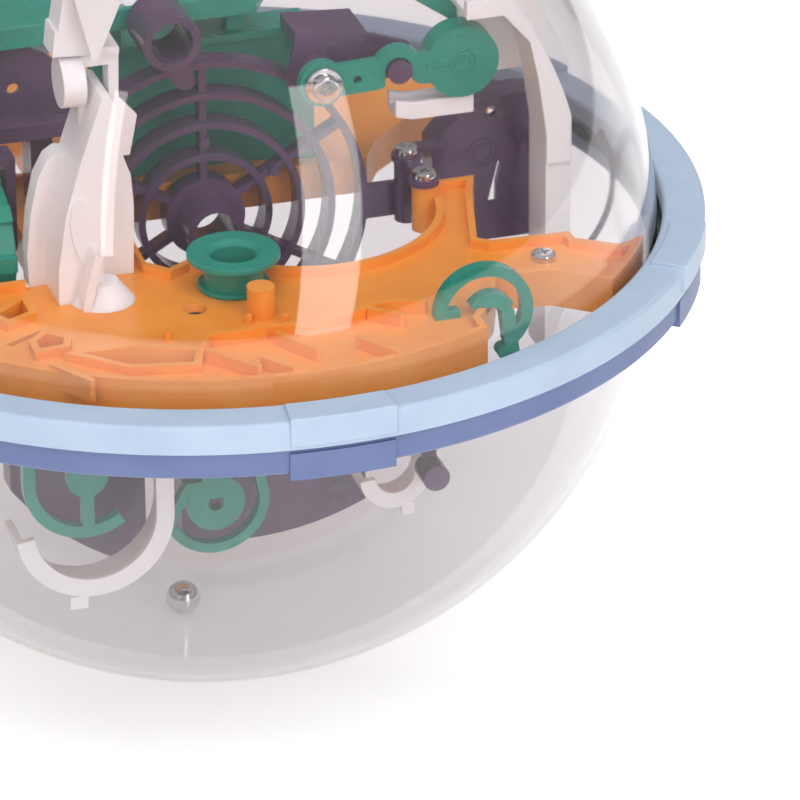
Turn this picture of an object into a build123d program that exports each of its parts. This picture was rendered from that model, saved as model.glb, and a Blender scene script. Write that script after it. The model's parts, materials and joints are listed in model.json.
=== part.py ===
from build123d import *
import os
from math import atan2, degrees, hypot, sqrt

# Maze ball puzzle: a clear ball of two domes, held by two rings at the seam, around a fixed
# plastic course that a loose steel marble runs through.
# Millimetres. The seam is the XY plane, the ball's centre is the origin, the front is -Y.

os.makedirs("parts", exist_ok=True)

# Clear ball
ball_dia = 200.0
shell_wall = 2.0
flange_width = 5.6
flange_thick = 1.5
pole_flat_dia = 20.0

# Seam rings
upper_ring_width = 10.4
lower_ring_width = 9.3
ring_bore_gap = 1.0
upper_ring_height = 6.6
lower_ring_height = 6.2
flange_gap = 0.2
pad_count = 6
pad_span = 12.0
pad_rise = 1.0
pad_inset = 2.2
ring_edge_round = 1.2

# Orange deck
deck_top = 5.0
deck_plate = 2.0
deck_drop = 6.5
deck_wall = 1.6
deck_lip = 2.0
deck_rim_gap = 9.0
tab_wall_gap = 0.35
tab_angles = [-37.0, 143.0, 205.0, 62.0]
tongue_height = 1.4
tongue_width = 9.0
tongue_inset = 0.9
tongue_gap = 0.15
hole_radius = 29.0
hole_centre = (20.0, -11.0)
hole_back_y = 11.0
baffle_height = 3.0
baffle_thick = 1.5

# Screws
screw_head_dia = 5.5
screw_head_height = 1.7
screw_shank_dia = 2.4
screw_length = 6.0
screw_hole_gap = 0.1
washer_head_dia = 8.4
washer_thick = 1.0

# Target wheel
wheel_x = 2.0
wheel_z = 0.5
wheel_front = 4.5
wheel_width = 5.5
ring_radii = [14.5, 22.0, 29.0, 36.5]
ring_thick = 1.6
hub_outer = 6.5
hub_bore = 4.8
hub_front = -4.0
collar_radius = 9.0
collar_thick = 2.5
spoke_count = 6
spoke_width = 1.6
sight_x = -7.0
sight_z = 47.0
sight_outer = 6.5
sight_bore = 4.7

# Posts that carry the wheel and the quadrant
post_x = 47.5
post_y = -11.3
post_radius = 2.8
post_top = 9.5
lug_thick = 1.5
lug_radius = 3.4
boss_y = 2.0
web_y = -2.6
lug_bar = 3.2

# Quadrant plate
quad_x = 74.6
quad_z = -4.0
quad_radius = 24.0
quad_front = 6.2
quad_face = 1.6
quad_depth = 8.0
quad_low = -15.0
quad_right = 86.5
quad_left = 54.8

# White arches
arch_radius = 84.0
arch_in = 75.4
arch_out = 81.2
arch_foot = -48.0
arch_leg_x = 57.0
arch_leg_z = 47.5
leg_height = 4.2
arch_front = -12.0
arch_depth = 12.0
arch_wall = 1.6
arch_step_z = 10.5
arch_step = 0.6
arch_slot_end = 95.0

# White shelf
shelf_front = -5.0
shelf_low = 22.0
shelf_left = 43.0
shelf_right = 61.0
shelf_lip = 4.2
plate_low = 29.0

# Flipper
pivot_x = 26.0
pivot_z = 34.0
flip_front = -6.5
flip_thick = 2.5
flip_boss = 5.2
flip_bore = 1.6
pivot_fit = 0.06
flip_disc_x = 58.0
flip_disc_z = 35.0
flip_disc = 8.3
flip_drum_depth = 6.0
flip_bar = 6.0
stop_x = 43.3
stop_z = 35.0
stop_radius = 2.7
stop_gap = 0.35

# Guide column
panel_front = -27.0
panel_depth = 5.0
blade_front = -38.0
column_wall = 1.6
neck_front = -30.0
neck_top = 58.6
boss_radius = 5.6
foot_radius = 7.0
bracket_front = -31.0
bracket_low = 58.62

# Cup
cup_x = -4.0
cup_y = -39.7
cup_top = 13.3
cup_flange = 10.1
cup_outer = 6.45
cup_bore = 4.8
cup_flange_thick = 1.4
cup_collar = 7.8
cup_drop = 7.0
cup_gap = 0.25

# Paddle drum
drum_x = -53.0
drum_y = -9.0
drum_z = 9.0
drum_radius = 13.5
drum_width = 11.0
drum_web = 2.0
drum_lugs = 8
axle_radius = 1.5
axle_fit = 0.05
bracket_gap = 0.6
bracket_thick = 2.2
ear_radius = 3.6
yoke_z = 27.0

# Wall, trough and track behind the wheel
back_wall_y = 19.0
back_wall_height = 32.0
trough_floor = 45.0
trough_height = 14.0
trough_lip = 5.0
track_front = 11.5

# Hook loop
loop_x = 42.9
loop_y = -69.5
loop_z = 5.4
loop_outer = 10.8
loop_band = 2.4

# Pieces under the deck
slide_x = -40.0
slide_z = -38.5
slide_outer = 17.5
slide_flange = 4.0
slide_front = -56.0
slide_depth = 11.5
chute_x = 30.5
chute_z = -44.0
chute_outer = 8.0
chute_front = -44.0
peg_x = 37.0
peg_z = -41.0
peg_front = -54.0

# Loose steel marble
marble_dia = 8.0
marble_gap = 0.05
marble_x = -5.2
marble_y = 4.5

# Wall thickness of the small parts, and gaps
plate_thick = 1.6
joint_gap = 0.3
contact_gap = 0.02
slot_room = 0.4

# Worked out from the sizes above
ball_r = ball_dia / 2
ball_in = ball_r - shell_wall
flange_r = ball_r + flange_width
upper_ring_dia = ball_dia + 2 * upper_ring_width
lower_ring_dia = ball_dia + 2 * lower_ring_width
ring_in = ball_r + ring_bore_gap
pole_z = sqrt(ball_r ** 2 - (pole_flat_dia / 2) ** 2)
marble_track = ball_in - marble_dia / 2 - marble_gap
deck_floor = deck_top - deck_plate
deck_bottom = deck_top - deck_drop
deck_rim = ball_in - deck_rim_gap
tongue_reach = ball_r - tongue_inset
tab_reach = ball_in - tab_wall_gap
deck_tab_reach = sqrt(tab_reach ** 2 - (deck_top + deck_lip) ** 2)
wheel_back = wheel_front + wheel_width
hole_x = hole_centre[0]
hole_y = hole_centre[1]
shank_hole = screw_shank_dia / 2 + screw_hole_gap
flip_back = flip_front + flip_thick
arch_back = arch_front + arch_depth


def facing(y):
    """Upright plane seen from the front: local X and Y are the ball's X and Z."""
    return Plane(origin=(0, y, 0), x_dir=(1, 0, 0), z_dir=(0, -1, 0))


def sector(inner, outer, start_deg, span_deg):
    """Flat piece of a ring between two radii."""
    with BuildSketch() as piece:
        with BuildLine():
            outer_arc = CenterArc((0, 0), outer, start_deg, span_deg)
            inner_arc = CenterArc((0, 0), inner, start_deg, span_deg)
            Line(outer_arc @ 0, inner_arc @ 0)
            Line(outer_arc @ 1, inner_arc @ 1)
        make_face()
    return piece.sketch


def outline(*points):
    """Closed straight-sided face."""
    with BuildSketch() as piece:
        with BuildLine():
            Polyline(*points, close=True)
        make_face()
    return piece.sketch


def bar(start, end, width):
    """Flat bar with round ends between two points."""
    length = hypot(end[0] - start[0], end[1] - start[1])
    angle = degrees(atan2(end[1] - start[1], end[0] - start[0]))
    middle = ((start[0] + end[0]) / 2, (start[1] + end[1]) / 2)
    with BuildSketch() as piece:
        with Locations(middle):
            SlotCenterToCenter(length, width, rotation=angle)
    return piece.sketch


# Clear domes: each has a flange at the seam and a small flat at its pole.
with BuildPart() as upper_dome:
    Sphere(radius=ball_r)
    with BuildSketch(Plane.XY):
        Circle(flange_r)
    extrude(amount=flange_thick)
    Sphere(radius=ball_in, mode=Mode.SUBTRACT)
    split(bisect_by=Plane.XY, keep=Keep.TOP)
    split(bisect_by=Plane.XY.offset(pole_z), keep=Keep.BOTTOM)

with BuildPart() as lower_dome:
    Sphere(radius=ball_r)
    with BuildSketch(Plane.XY):
        Circle(flange_r)
    extrude(amount=-flange_thick)
    Sphere(radius=ball_in, mode=Mode.SUBTRACT)
    split(bisect_by=Plane.XY, keep=Keep.BOTTOM)
    split(bisect_by=Plane.XY.offset(-pole_z), keep=Keep.TOP)
    # Pockets in the rim that hold the deck's tongues
    with BuildSketch(Plane.XY):
        for angle in tab_angles:
            half = degrees((tongue_width / 2 + tongue_gap) / ball_r)
            add(sector(ball_in - 1, tongue_reach + tongue_gap, angle - half, 2 * half))
    extrude(amount=-(tongue_height + tongue_gap), mode=Mode.SUBTRACT)


def pad_sketch(outer, grow):
    """The six raised pads, as plan sectors that reach past the ring's outer edge."""
    with BuildSketch() as pads:
        for count in range(pad_count):
            middle = -90 + count * 360 / pad_count
            add(sector(ring_in + pad_inset, outer + grow, middle - pad_span / 2, pad_span))
    return pads.sketch


def ring(outer_dia, height):
    """Seam ring above the XY plane with six pads and a pocket for the dome's flange."""
    outer = outer_dia / 2
    with BuildPart() as body:
        with BuildSketch(Plane.XY):
            Circle(outer)
            Circle(ring_in, mode=Mode.SUBTRACT)
        extrude(amount=height)
        top_edges = body.faces().sort_by(Axis.Z)[-1].edges()
        fillet(top_edges, radius=ring_edge_round)
        with BuildSketch(Plane.XY.offset(pad_rise)):
            add(pad_sketch(outer, pad_rise * 0.6))
        extrude(amount=height)
        with BuildSketch(Plane.XY):
            Circle(flange_r + flange_gap)
            Circle(ring_in - 1, mode=Mode.SUBTRACT)
        extrude(amount=flange_thick + flange_gap / 2, mode=Mode.SUBTRACT)
    return body.part


upper_ring = ring(upper_ring_dia, upper_ring_height)
lower_ring = mirror(ring(lower_ring_dia, lower_ring_height), about=Plane.XY)

# Deck outline: the disc under the seam, less the big hole and the side windows.
arm_window = outline((40.5, -98), (40.5, -74), (46, -66), (50, -55.5), (61.7, -56.8), (74.2, -66.5),
                      (98, -88))
side_window = outline((51.7, -36.5), (54, -38.6), (71.7, -39.5), (71.7, -43), (79.7, -48.8), (88, -45),
                      (110, -45), (110, 41), (74, 41), (60, 33), (46, 20), (41, hole_back_y),
                      (41, -5.5), (60.8, -5.5), (57.7, -14))
big_hole = outline((-19, hole_back_y), (41.5, hole_back_y), (48.4, -5.5), (49, hole_y), (44, -27),
                   (20, -31), (8.7, -30), (3, -33), (-8, -30), (-11, -28), (-16, -31), (-20, -26.5))
drum_window = outline((-64, -27), (-42, -27), (-42, 9), (-64, 9))
front_window = outline((-44, -65.5), (-33, -65.5), (-21, -71), (-23, -76.5), (-36, -73.5))
rear_window = outline((-60, 26), (-30, 26), (-30, 52), (-44, 60), (-60, 48))
slot_one = outline((-57.5, -52.5), (-49, -48.3), (-48.2, -49.7), (-56.7, -53.9))
slot_two = outline((-56.5, -42), (-50, -36.5), (-50, -42.5), (-55, -45))
arch_slot = outline((-arch_slot_end, arch_front - slot_room), (-arch_in + slot_room, arch_front - slot_room),
                    (-arch_in + slot_room, arch_back + slot_room), (-arch_slot_end, arch_back + slot_room))
notch_hole = outline((-52, -57), (-49, -54), (-46, -57), (-47, -60), (-52, -60.5))

tab_shape = outline((58, -56.3), (61.7, -56.8), (74.2, -66.5), (90, -79), (110, -60), (96, -41.5),
                    (79.7, -48.8), (71.7, -43), (71.7, -39.5), (58, -38.8))
back_strip = outline((-19, hole_back_y), (41, hole_back_y), (46, 20), (-19, 20))


def grown(shape, amount):
    """The same outline moved out by an amount, or in when it is negative."""
    if not amount:
        return shape
    return offset(shape, amount=amount, kind=Kind.INTERSECTION, mode=Mode.PRIVATE)


def deck_face(inset):
    """Deck plan with every edge, windows included, moved in by an inset."""
    with BuildSketch() as plan:
        Circle(deck_rim - inset)
        with Locations(hole_centre):
            Circle(hole_radius + inset, mode=Mode.SUBTRACT)
        add(back_strip)
        for window in [arm_window, side_window, big_hole, drum_window, front_window, rear_window,
                       notch_hole, slot_two, arch_slot]:
            add(grown(window, inset), mode=Mode.SUBTRACT)
        add(grown(tab_shape, -inset))
        Circle(deck_tab_reach - inset, mode=Mode.INTERSECT)
        for angle in tab_angles[1:]:
            half = degrees((tongue_width / 2 - inset) / ball_r)
            add(sector(deck_rim - 4, deck_tab_reach - inset, angle - half, 2 * half))
    return plan.sketch


deck_outer = deck_face(0)
deck_inner = deck_face(deck_wall)

baffles = [((-19, -74), (-11, -84)), ((-3, -70), (3, -80)), ((-9, -80.5), (-4, -87)),
           ((13, -77), (19, -86.5)), ((19, -65), (24.5, -69.5)), ((-52, -70), (-46, -80)),
           ((-72, -40), (-62, -46)), ((-70, 10), (-80, 14)), ((-60, 62), (-52, 56)),
           ((0, 70), (4, 80)), ((30, 60), (36, 70))]
small_pegs = [(-1.8, -57.4), (-6, -58.5), (1.5, -60.5), (-24.5, -61)]
channel_wall = [(-19, -70), (-17, -66.5), (-2, -66.8), (10, -66.8), (22, -62.4), (31, -64.5)]

with BuildPart() as deck:
    with BuildSketch(Plane.XY.offset(deck_bottom)):
        add(deck_outer)
    extrude(amount=deck_drop + deck_lip)
    with BuildSketch(Plane.XY.offset(deck_bottom)):
        add(deck_inner)
    extrude(amount=deck_drop - deck_plate, mode=Mode.SUBTRACT)
    with BuildSketch(Plane.XY.offset(deck_top)):
        add(deck_inner)
    extrude(amount=deck_lip, mode=Mode.SUBTRACT)
    # Tongues that sit in the lower dome's rim
    with BuildSketch(Plane.XY.offset(-tongue_height)):
        for angle in tab_angles:
            half = degrees(tongue_width / 2 / ball_r)
            add(sector(deck_rim - 2, tongue_reach, angle - half, 2 * half))
    extrude(amount=tongue_height - tongue_gap)
    # Low walls that steer the marble
    with BuildSketch(Plane.XY.offset(deck_floor)):
        for start, end in baffles:
            add(bar(start, end, baffle_thick))
        for start, end in zip(channel_wall, channel_wall[1:]):
            add(bar(start, end, baffle_thick))
    extrude(amount=deck_plate + baffle_height)
    # Tall peg by the cup, short pegs, and the post for the wheel
    with BuildSketch(Plane.XY.offset(deck_floor)):
        with Locations((-2.4, -55.5)):
            Circle(3)
    extrude(amount=deck_plate + 7)
    with BuildSketch(Plane.XY.offset(deck_floor)):
        with Locations(*small_pegs):
            Circle(0.8)
    extrude(amount=deck_plate + 2)
    with BuildSketch(Plane.XY.offset(deck_bottom)):
        with Locations((post_x, post_y)):
            Circle(post_radius)
    extrude(amount=post_top - deck_bottom)
    # Boss under the arm screw
    with BuildSketch(Plane.XY.offset(deck_bottom)):
        with Locations((63.3, -47)):
            Circle(3.4)
    extrude(amount=deck_drop)
    # Seats for the cup's collar, the column's foot and the hook loop
    with BuildSketch(Plane.XY.offset(deck_top)):
        with Locations((cup_x, cup_y)):
            Circle(cup_collar + cup_gap)
        with Locations((-34, -33)):
            Rectangle(26, 26)
        with Locations((loop_x, loop_y + 1.5)):
            Rectangle(9, 4.4)
    extrude(amount=deck_lip + 1, mode=Mode.SUBTRACT)
    # Holes
    with BuildSketch(Plane.XY.offset(deck_bottom - 1)):
        with Locations((cup_x, cup_y)):
            Circle(cup_outer + cup_gap)
        with Locations((-15, -48.3)):
            Circle(2.6)
        with Locations((-1.8, -62.8)):
            Circle(1.3)
        add(slot_one)
    extrude(amount=30, mode=Mode.SUBTRACT)
    with BuildSketch(Plane.XY.offset(post_top)):
        with Locations((post_x, post_y)):
            Circle(shank_hole)
    extrude(amount=-screw_length, mode=Mode.SUBTRACT)
    with BuildSketch(Plane.XY.offset(deck_top)):
        with Locations((63.3, -47)):
            Circle(shank_hole)
    extrude(amount=-screw_length, mode=Mode.SUBTRACT)

# Target wheel: concentric rings on six spokes, with a hub tube, a sight ring and a bracket.
with BuildPart() as target_wheel:
    with BuildSketch(facing(wheel_front)):
        with Locations((wheel_x, wheel_z)):
            for radius in ring_radii:
                add(sector(radius - ring_thick / 2, radius + ring_thick / 2, 0, 359.99))
            Circle(collar_radius)
    extrude(amount=-wheel_width)
    # Spokes are set back from the rings' front edge
    with BuildSketch(facing(wheel_front + 1)):
        with Locations((wheel_x, wheel_z)):
            with PolarLocations(0, spoke_count, start_angle=30):
                with Locations(((hub_outer + ring_radii[-1]) / 2, 0)):
                    Rectangle(ring_radii[-1] - hub_outer, spoke_width)
    extrude(amount=-(wheel_width - 2))
    # Small bumps where a spoke crosses the second ring
    with BuildSketch(facing(wheel_front - 0.6)):
        with Locations((wheel_x, wheel_z)):
            with PolarLocations((ring_radii[0] + ring_radii[1]) / 2, spoke_count, start_angle=30):
                Circle(1.1)
    extrude(amount=-3)
    with BuildSketch(facing(hub_front)):
        with Locations((wheel_x, wheel_z)):
            Circle(hub_outer)
    extrude(amount=-(wheel_back - hub_front))
    # Sight ring on its stalk
    with BuildSketch(facing(hub_front)):
        with Locations((sight_x, sight_z)):
            Circle(sight_outer)
    extrude(amount=-(wheel_back - hub_front))
    with BuildSketch(facing(wheel_front)):
        add(bar((sight_x, sight_z - sight_outer), (wheel_x - 4, wheel_z + ring_radii[-1] - 3), 4.5))
    extrude(amount=-wheel_width)
    with BuildSketch(facing(hub_front - 1)):
        with Locations((sight_x, sight_z)):
            Circle(sight_bore)
        with Locations((wheel_x, wheel_z)):
            Circle(hub_bore)
    extrude(amount=-30, mode=Mode.SUBTRACT)
    # Clearance for the deck's strip and the guide column
    with Locations((-58.4, 0, deck_top + deck_lip + 1)):
        Box(80, 60, 100, align=(Align.CENTER, Align.CENTER, Align.MAX), mode=Mode.SUBTRACT)
    # Bracket out to the screw boss beside the deck's post
    with BuildSketch(facing(wheel_front)):
        with Locations(((wheel_x + ring_radii[-1] + post_x) / 2, wheel_z - 1.5)):
            Rectangle(post_x - wheel_x - ring_radii[-1] + 0.5, 8)
    extrude(amount=-plate_thick)
    with BuildSketch(Plane.XY.offset(wheel_z - 5.5)):
        with Locations((post_x, boss_y)):
            Circle(post_radius)
    extrude(amount=post_top - wheel_z + 5.5)
    # Lug that reaches over to the deck's post
    with BuildSketch(Plane.XY.offset(post_top)):
        with Locations((post_x, post_y)):
            Circle(lug_radius)
        with Locations((post_x, (post_y + web_y) / 2)):
            Rectangle(lug_bar, web_y - post_y)
    extrude(amount=lug_thick)
    with BuildSketch(Plane.XY.offset(wheel_z)):
        with Locations((post_x, web_y)):
            Rectangle(lug_bar, lug_thick)
    extrude(amount=post_top + lug_thick - wheel_z)
    with BuildSketch(Plane.XY.offset(wheel_z)):
        with Locations((post_x, (web_y + boss_y) / 2)):
            Rectangle(lug_bar, boss_y - web_y)
    extrude(amount=4)
    with BuildSketch(Plane.XY.offset(post_top + lug_thick)):
        with Locations((post_x, post_y), (post_x, boss_y)):
            Circle(shank_hole)
    extrude(amount=-screw_length - lug_thick, mode=Mode.SUBTRACT)

# Quadrant plate: a round-topped tray that faces the front, with a rim and a screw lug.
quad_profile = outline((quad_left, quad_low), (quad_right, quad_low), (quad_right, 40), (quad_left, 40))
pin_hole = (68.5, 16.5)


def quad_outline(inset):
    """Face of the quadrant, moved in by an inset."""
    with BuildSketch() as face:
        with Locations((quad_x, quad_z)):
            Circle(quad_radius - inset)
        add(grown(quad_profile, -inset), mode=Mode.INTERSECT)
    return face.sketch


with BuildPart() as quadrant:
    with BuildSketch(facing(quad_front)):
        add(quad_outline(0))
    extrude(amount=-quad_depth)
    with BuildSketch(facing(quad_front + quad_face)):
        add(quad_outline(plate_thick))
    extrude(amount=-quad_depth, mode=Mode.SUBTRACT)
    with BuildSketch(facing(quad_front)):
        add(outline((67.6, -6), (70.2, 4.2), (70.8, 3.2), (69.8, -1), (69.6, -6)))
        with Locations(pin_hole):
            Circle(1.2)
    extrude(amount=-quad_depth, mode=Mode.SUBTRACT)
    # Spacer that carries the arch
    with BuildSketch(facing(quad_front)):
        with Locations((arch_in + 0.4, 9)):
            Circle(2.5)
    extrude(amount=quad_front - arch_back - contact_gap)
    # Lug and its screw hole over the wheel's boss
    with BuildSketch(Plane.XY.offset(post_top)):
        with Locations((post_x, boss_y)):
            Circle(lug_radius)
        with Locations(((post_x + quad_x - quad_radius + 7) / 2, quad_front - 1)):
            Rectangle(quad_x - quad_radius + 7 - post_x, 4)
    extrude(amount=lug_thick)
    with BuildSketch(Plane.XY.offset(post_top + lug_thick)):
        with Locations((post_x, boss_y)):
            Circle(shank_hole)
    extrude(amount=-lug_thick, mode=Mode.SUBTRACT)

# White arches: an angle section bent to the ball's curve, one on each side.
def arch_plan(inner_x, leg_z, leg_left):
    """Front outline of the right-hand arch: an outer arc over a straight inner edge and a top leg."""
    with BuildSketch() as face:
        add(outline((inner_x, arch_foot), (arch_out, arch_foot), (arch_out, leg_z + 20),
                    (leg_left, leg_z + 20), (leg_left, leg_z), (inner_x - 10, leg_z),
                    (inner_x - 4, leg_z - 7), (inner_x - 2, leg_z - 16), (inner_x, leg_z - 30)))
        Circle(arch_radius, mode=Mode.INTERSECT)
        with Locations((leg_left + 10, leg_z + leg_height + 20)):
            Rectangle(80, 40, mode=Mode.SUBTRACT)
    return face.sketch


def arch():
    """Right-hand arch: a front flange and the inner wall behind it."""
    with BuildPart() as body:
        with BuildSketch(facing(arch_front)):
            add(arch_plan(arch_in, arch_leg_z, arch_leg_x))
        extrude(amount=-arch_depth)
        with BuildSketch(facing(arch_front + arch_wall)):
            add(arch_plan(arch_in + arch_wall, arch_leg_z + arch_wall, arch_leg_x - 1))
        extrude(amount=-arch_depth, mode=Mode.SUBTRACT)
        # The flange is a little thicker above a step
        with BuildSketch(facing(arch_front)):
            add(arch_plan(arch_in, arch_leg_z, arch_leg_x))
            with Locations((ball_r / 2, arch_step_z + ball_r / 2)):
                Rectangle(ball_r, ball_r, mode=Mode.INTERSECT)
        extrude(amount=arch_step)
    return body.part


right_arch = arch()
left_arch = mirror(arch(), about=Plane.YZ)

# White shelf between the right arch and the middle, with the upright plate behind it.
with BuildPart() as right_shelf:
    for lip, reach in ((plate_thick, arch_back + contact_gap - shelf_front), (shelf_lip, plate_thick)):
        with BuildSketch(facing(shelf_front)):
            add(outline((shelf_left, shelf_low + 1), (shelf_left + 4, shelf_low), (shelf_right, shelf_low),
                        (shelf_right, shelf_low + lip), (shelf_left + 4, shelf_low + lip),
                        (shelf_left, shelf_low + lip + 1)))
        extrude(amount=-reach)
    # Upright plate whose edge meets the back of the arch's inner wall
    with BuildSketch(facing(arch_back + contact_gap)):
        add(outline((shelf_left, shelf_low + 1), (shelf_left + 4, shelf_low), (shelf_right, shelf_low),
                    (shelf_right, plate_low), (arch_in + arch_wall, plate_low), (arch_in + arch_wall, 38),
                    (70, 48.5), (59, 48.5), (59, shelf_low + shelf_lip),
                    (shelf_left + 4, shelf_low + shelf_lip),
                    (shelf_left, shelf_low + shelf_lip + 1)))
    extrude(amount=-plate_thick)

# Guide column at the left: a round-shouldered panel with a leaning blade in front of it, open at the
# back, then a neck with a window and a round boss above.
panel_outline = outline((-46, deck_top), (-46.2, 12.6), (-45.2, 22), (-43.4, 30), (-41.1, 34.3),
                        (-38.9, 35.7), (-26.8, 34.6), (-24.6, 33.2), (-22.9, 28.2), (-22.4, 21),
                        (-22.8, deck_top))
blade_outline = outline((-31.5, 52), (-29.6, 51.6), (-28.2, 49.5), (-29.8, 39.5), (-31, 28.4), (-31.8, 16.6),
                        (-32.4, deck_top), (-42.2, deck_top), (-42, 13.5), (-40.2, 25.2), (-36.7, 37.3),
                        (-33.4, 46.6))


with BuildPart() as guide_column:
    # Both fronts, then both hollows a wall's thickness inside them
    for inset in (0, column_wall):
        for shape, front in ((panel_outline, panel_front), (blade_outline, blade_front)):
            with BuildSketch(facing(front + inset)):
                add(grown(shape, -inset))
            extrude(amount=front - panel_front - panel_depth - inset,
                    mode=Mode.SUBTRACT if inset else Mode.ADD)
    # The lower edge stays closed where it meets the deck
    with BuildSketch(Plane.XY.offset(deck_top)):
        with Locations((-34.3, panel_front + panel_depth / 2)):
            Rectangle(22, panel_depth)
    extrude(amount=column_wall)
    # Neck with its window
    with BuildSketch(facing(neck_front)):
        add(outline((-35, 34), (-26.2, 34), (-25.7, neck_top), (-34.5, neck_top)))
        add(outline((-33, 47), (-28, 47), (-28, 56), (-33, 56)), mode=Mode.SUBTRACT)
    extrude(amount=-panel_depth)
    # Clear-looking rib beside the neck
    with BuildSketch(facing(panel_front)):
        add(outline((-27, 46.8), (-25, 46.6), (-21.2, 42.1), (-23, 33), (-27, 33)))
    extrude(amount=-plate_thick)
    # Round boss on the neck's left side
    with BuildSketch(Plane.YZ.offset(-38.8)):
        with Locations((neck_front + 1, 52.9)):
            Circle(boss_radius)
    extrude(amount=5)
    # Flared foot, and the tail of the blade in front of it
    with BuildSketch(Plane.XY.offset(deck_top)):
        with Locations((-32.5, -37.5)):
            Circle(foot_radius)
    extrude(amount=4.5, taper=38)
    with BuildSketch(facing(blade_front - 5)):
        add(outline((-38.2, deck_top), (-36.5, deck_top), (-33.5, 17), (-35, 18.5), (-37.6, 9)))
    extrude(amount=-6)
    # Raised oval on the blade's face
    with BuildSketch(facing(blade_front - 0.4)):
        with Locations(Location((-36.2, 21.5), 8)):
            Ellipse(2.9, 8)
    extrude(amount=-1)

# White bracket above the column: two stepped plates and a V-shaped trough
with BuildPart() as column_bracket:
    with BuildSketch(facing(bracket_front)):
        add(outline((-40.3, bracket_low + 1), (-25.8, bracket_low), (-25.8, bracket_low + 1.6), (-33, 61),
                    (-33, 65.2), (-33.4, 73), (-37.6, 73), (-38.9, 65.2), (-39.6, 65.2)))
    extrude(amount=-8)
    with BuildSketch(facing(bracket_front + plate_thick)):
        add(outline((-38.6, 62), (-34.6, 62), (-34.6, 64.5), (-35, 71.4), (-36.2, 71.4), (-37.6, 64.5)))
    extrude(amount=-8, mode=Mode.SUBTRACT)
    for top_x in (-35.4, -26.2):
        with BuildSketch(facing(bracket_front - 4)):
            add(bar((-32, 60.4), (top_x, 74), plate_thick))
        extrude(amount=-8)
    with BuildSketch(facing(bracket_front - 4)):
        add(outline((-32, 59.6), (-35.4, 74), (-26.2, 74)))
    extrude(amount=-1)

# Green cup that drops through the deck
with BuildPart() as cup:
    with BuildSketch(Plane.XY.offset(-cup_drop)):
        with Locations((cup_x, cup_y)):
            Circle(cup_outer)
    extrude(amount=cup_top + cup_drop)
    with BuildSketch(Plane.XY.offset(deck_top)):
        with Locations((cup_x, cup_y)):
            Circle(cup_collar)
    extrude(amount=1.2)
    with BuildSketch(Plane.XY.offset(cup_top - cup_flange_thick)):
        with Locations((cup_x, cup_y)):
            Circle(cup_flange)
    extrude(amount=cup_flange_thick)
    with BuildSketch(Plane.XY.offset(-cup_drop - 1)):
        with Locations((cup_x, cup_y)):
            Circle(cup_bore)
    extrude(amount=cup_top + cup_drop + 2, mode=Mode.SUBTRACT)
    mouth = cup.edges().filter_by(GeomType.CIRCLE).group_by(Axis.Z)[-1].sort_by(SortBy.RADIUS)
    chamfer(mouth[0], length=cup_flange_thick * 0.8)

# Green hook loop by the end of the channel
with BuildPart() as hook_loop:
    with BuildSketch(facing(loop_y)):
        with Locations((loop_x, loop_z)):
            add(sector(loop_outer - loop_band, loop_outer, -60, 242))
    extrude(amount=-3)
    with BuildSketch(facing(loop_y)):
        with Locations((loop_x + 1.5, loop_z - 1.2)):
            add(sector(2.2, 5.5, 25, 122))
        add(bar((loop_x + 5.2, loop_z - 1), (loop_x + 6.4, loop_z - 11), 3))
        add(bar((loop_x + 6.4, loop_z - 10.5), (loop_x + 4.4, loop_z - 10), 3))
    extrude(amount=-3)
    with BuildSketch(Plane.XY.offset(deck_top)):
        with Locations((loop_x - 7.4, loop_y + 1.5)):
            Rectangle(4.2, 3)
    extrude(amount=1.6)

# Green flipper on its washer-head screw, resting on the stop pin

def flip_sketch():
    """Front outline of the flipper, with the notch that rests on the stop pin."""
    with BuildSketch() as face:
        with Locations((pivot_x, pivot_z)):
            Circle(flip_boss)
        add(bar((pivot_x, pivot_z), (stop_x - 5, stop_z - 0.5), flip_bar + 1))
        add(bar((stop_x + 6, stop_z - 0.5), (flip_disc_x, flip_disc_z), flip_bar + 1))
        with Locations((stop_x, stop_z)):
            add(sector(stop_radius + stop_gap, stop_radius + stop_gap + 2.6, -5, 190))
        with Locations((flip_disc_x, flip_disc_z)):
            Circle(flip_disc)
        with Locations((stop_x, stop_z)):
            Circle(stop_radius + stop_gap, mode=Mode.SUBTRACT)
        with Locations((stop_x, stop_z - 4)):
            Rectangle(2 * (stop_radius + stop_gap), 8, mode=Mode.SUBTRACT)
        with Locations((pivot_x, pivot_z)):
            Circle(flip_bore, mode=Mode.SUBTRACT)
        with Locations((pivot_x + 8, pivot_z), (stop_x + 7.2, stop_z)):
            Circle(1, mode=Mode.SUBTRACT)
    return face.sketch


with BuildPart() as flipper:
    with BuildSketch(facing(flip_front)):
        add(flip_sketch())
    extrude(amount=-flip_thick)
    with BuildSketch(facing(flip_front)):
        with Locations((flip_disc_x, flip_disc_z)):
            Circle(flip_disc)
    extrude(amount=-flip_drum_depth)
    with BuildSketch(facing(flip_front + flip_thick)):
        with Locations((flip_disc_x, flip_disc_z)):
            Circle(flip_disc - plate_thick)
    extrude(amount=-flip_drum_depth, mode=Mode.SUBTRACT)

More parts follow.
